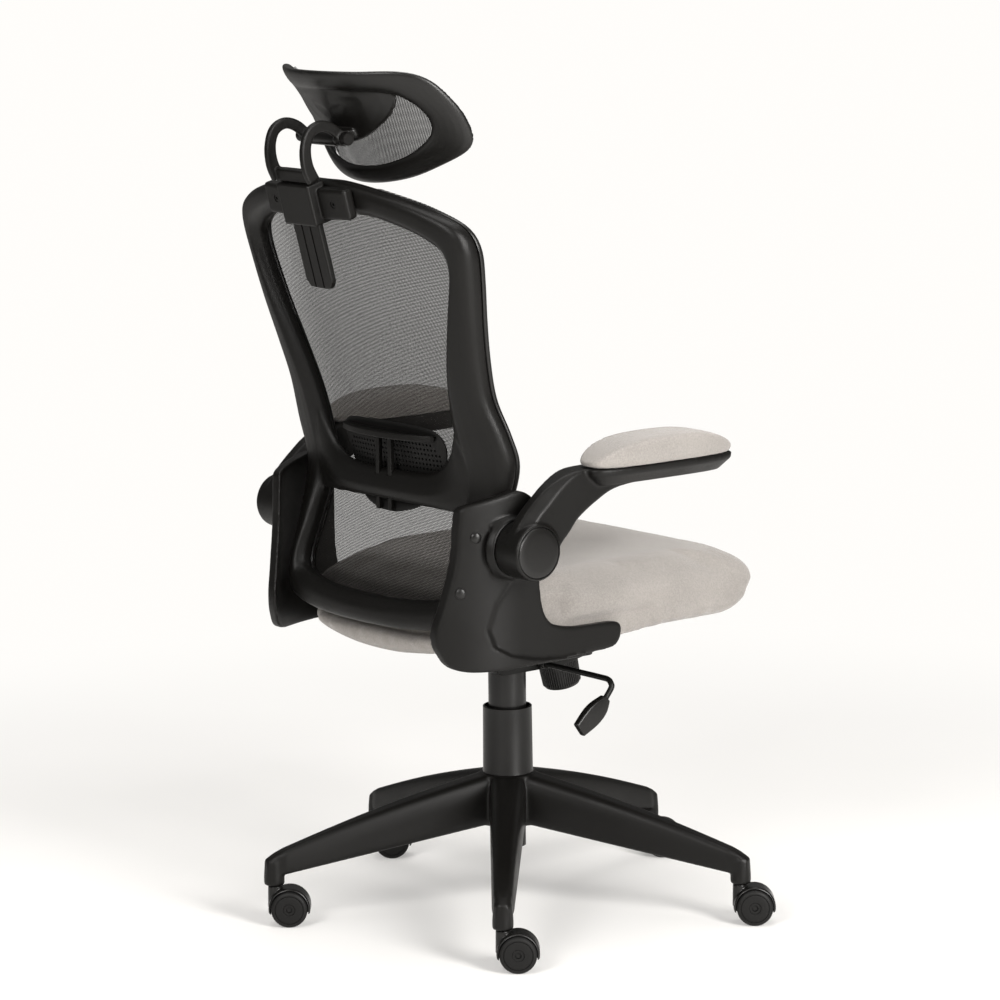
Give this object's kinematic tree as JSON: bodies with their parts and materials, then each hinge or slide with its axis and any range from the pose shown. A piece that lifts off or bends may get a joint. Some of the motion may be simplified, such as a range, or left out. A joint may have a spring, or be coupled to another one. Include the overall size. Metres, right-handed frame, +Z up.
{
  "type": "mesh-back task chair",
  "caption": "High-back mesh desk chair on a wheeled star base, with a padded seat, flip-up padded arms, an adjustable lumbar pad and a headrest on a sliding yoke.",
  "frame": {"origin": "on the floor, below the middle of the chair's bounding box", "axes": "+Z up, the sitter faces -Y, the sitter's right hand is toward -X"},
  "size_m": [0.6825, 0.7394, 1.178],
  "materials": {
    "black_nylon": "fine-textured glass-filled nylon",
    "satin_black": "satin black plastic",
    "black_steel": "black powder coat",
    "bright_steel": "bright machined steel",
    "grey_fabric": "light warm grey woven upholstery over foam",
    "black_mesh": "black open-weave mesh",
    "white_acetal": "natural acetal"
  },
  "bodies": {
    "base": {"base_star": "black_nylon", "column_tube": "black_steel", "column_bush": "white_acetal", "shroud_lower": "satin_black", "thrust_bearing": "bright_steel"},
    "piston": {"piston_rod": "bright_steel"},
    "carrier": {"gas_cylinder": "black_steel", "shroud_upper": "satin_black", "mechanism_housing": "black_steel", "tilt_axle": "bright_steel", "tension_spring": "bright_steel"},
    "release": {"release_button": "bright_steel"},
    "lever_collar": {"lever_sleeve": "black_nylon"},
    "lever": {"lever_rod": "black_steel", "lever_paddle": "satin_black"},
    "knob": {"tension_knob": "satin_black", "tension_bolt": "bright_steel"},
    "seat": {"seat_plate": "black_steel", "seat_pan": "black_nylon", "seat_cushion": "grey_fabric", "side_bracket_left": "black_nylon", "side_bracket_right": "black_nylon", "pivot_bolt_left": "bright_steel", "pivot_bolt_right": "bright_steel", "back_frame": "black_nylon", "mesh_rim": "satin_black", "back_mesh": "black_mesh", "headrest_block": "black_nylon"},
    "lumbar": {"lumbar_pad": "satin_black", "lumbar_slider": "black_nylon"},
    "arm_l": {"arm_left": "black_nylon", "arm_pad_left": "grey_fabric", "pivot_cap_left": "satin_black"},
    "arm_r": {"arm_right": "black_nylon", "arm_pad_right": "grey_fabric", "pivot_cap_right": "satin_black"},
    "headrest_post": {"headrest_stem": "black_nylon"},
    "headrest": {"headrest_frame": "black_nylon", "headrest_mesh": "black_mesh", "headrest_shaft": "black_nylon"},
    "caster_1": {"caster_hood_1": "satin_black", "caster_stem_1": "bright_steel"},
    "wheels_1": {"caster_wheel_left_1": "satin_black", "caster_wheel_right_1": "satin_black"},
    "caster_2": {"caster_hood_2": "satin_black", "caster_stem_2": "bright_steel"},
    "wheels_2": {"caster_wheel_left_2": "satin_black", "caster_wheel_right_2": "satin_black"},
    "caster_3": {"caster_hood_3": "satin_black", "caster_stem_3": "bright_steel"},
    "wheels_3": {"caster_wheel_left_3": "satin_black", "caster_wheel_right_3": "satin_black"},
    "caster_4": {"caster_hood_4": "satin_black", "caster_stem_4": "bright_steel"},
    "wheels_4": {"caster_wheel_left_4": "satin_black", "caster_wheel_right_4": "satin_black"},
    "caster_5": {"caster_hood_5": "satin_black", "caster_stem_5": "bright_steel"},
    "wheels_5": {"caster_wheel_left_5": "satin_black", "caster_wheel_right_5": "satin_black"}
  },
  "joints": [
    {"name": "seat_swivel", "type": "hinge", "parent": "base", "child": "piston", "pos_m": [-0.0114, 0.0044, 0.1], "axis": [0, 0, 1], "continuous": true},
    {"name": "seat_lift", "type": "slide", "parent": "piston", "child": "carrier", "axis": [0, 0, 1], "range_m": [0, 0.09]},
    {"name": "back_tilt", "type": "hinge", "parent": "carrier", "child": "seat", "pos_m": [-0.0114, -0.0656, 0.372], "axis": [-1, 0, 0], "range_deg": [0, 12], "stiffness_Nm_per_rad": 70, "springref_deg": -28.65},
    {"name": "release_press", "type": "slide", "parent": "carrier", "child": "release", "axis": [0, 0, -1], "range_m": [0, 0.003]},
    {"name": "lever_lift", "type": "hinge", "parent": "carrier", "child": "lever_collar", "pos_m": [-0.0644, -0.0136, 0.349], "axis": [1, 0, 0], "range_deg": [0, 8], "stiffness_Nm_per_rad": 1.5, "springref_deg": -5.73},
    {"name": "lever_pull", "type": "slide", "parent": "lever_collar", "child": "lever", "axis": [-1, 0, 0], "range_m": [0, 0.012]},
    {"name": "tension_turn", "type": "hinge", "parent": "carrier", "child": "knob", "pos_m": [-0.0114, -0.0851, 0.343], "axis": [0, 0.2317, 0.9728], "range_deg": [-720, 720]},
    {"name": "lumbar_height", "type": "slide", "parent": "seat", "child": "lumbar", "axis": [0, 0, 1], "range_m": [-0.015, 0.015]},
    {"name": "arm_flip_left", "type": "hinge", "parent": "seat", "child": "arm_l", "pos_m": [0.2506, 0.1824, 0.558], "axis": [-1, 0, 0], "range_deg": [0, 90]},
    {"name": "arm_flip_right", "type": "hinge", "parent": "seat", "child": "arm_r", "pos_m": [-0.2734, 0.1824, 0.558], "axis": [-1, 0, 0], "range_deg": [0, 90]},
    {"name": "headrest_height", "type": "slide", "parent": "seat", "child": "headrest_post", "axis": [0, 0.2588, 0.9659], "range_m": [0, 0.05]},
    {"name": "headrest_tilt", "type": "hinge", "parent": "headrest_post", "child": "headrest", "pos_m": [-0.0114, 0.3029, 1.0885], "axis": [1, 0, 0], "range_deg": [-20, 20]},
    {"name": "caster_turn_1", "type": "hinge", "parent": "base", "child": "caster_1", "pos_m": [0.11788, 0.31345, 0.075], "axis": [0, 0, 1], "continuous": true},
    {"name": "wheel_spin_1", "type": "hinge", "parent": "caster_1", "child": "wheels_1", "pos_m": [0.10543, 0.29818, 0.025], "axis": [0.7749, -0.632, 0], "continuous": true},
    {"name": "caster_turn_2", "type": "hinge", "parent": "base", "child": "caster_2", "pos_m": [-0.26538, 0.22285, 0.075], "axis": [0, 0, 1], "continuous": true},
    {"name": "wheel_spin_2", "type": "hinge", "parent": "caster_2", "child": "wheels_2", "pos_m": [-0.27783, 0.20759, 0.025], "axis": [0.7749, -0.632, 0], "continuous": true},
    {"name": "caster_turn_3", "type": "hinge", "parent": "base", "child": "caster_3", "pos_m": [-0.29764, -0.16964, 0.075], "axis": [0, 0, 1], "continuous": true},
    {"name": "wheel_spin_3", "type": "hinge", "parent": "caster_3", "child": "wheels_3", "pos_m": [-0.31009, -0.18491, 0.025], "axis": [0.7749, -0.632, 0], "continuous": true},
    {"name": "caster_turn_4", "type": "hinge", "parent": "base", "child": "caster_4", "pos_m": [0.06567, -0.32161, 0.075], "axis": [0, 0, 1], "continuous": true},
    {"name": "wheel_spin_4", "type": "hinge", "parent": "caster_4", "child": "wheels_4", "pos_m": [0.05322, -0.33688, 0.025], "axis": [0.7749, -0.632, 0], "continuous": true},
    {"name": "caster_turn_5", "type": "hinge", "parent": "base", "child": "caster_5", "pos_m": [0.32247, -0.02305, 0.075], "axis": [0, 0, 1], "continuous": true},
    {"name": "wheel_spin_5", "type": "hinge", "parent": "caster_5", "child": "wheels_5", "pos_m": [0.31002, -0.03832, 0.025], "axis": [0.7749, -0.632, 0], "continuous": true}
  ],
  "couplings": [
    {"joint": "release_press", "follows": "lever_lift", "m_per_rad": 0.0212}
  ]
}
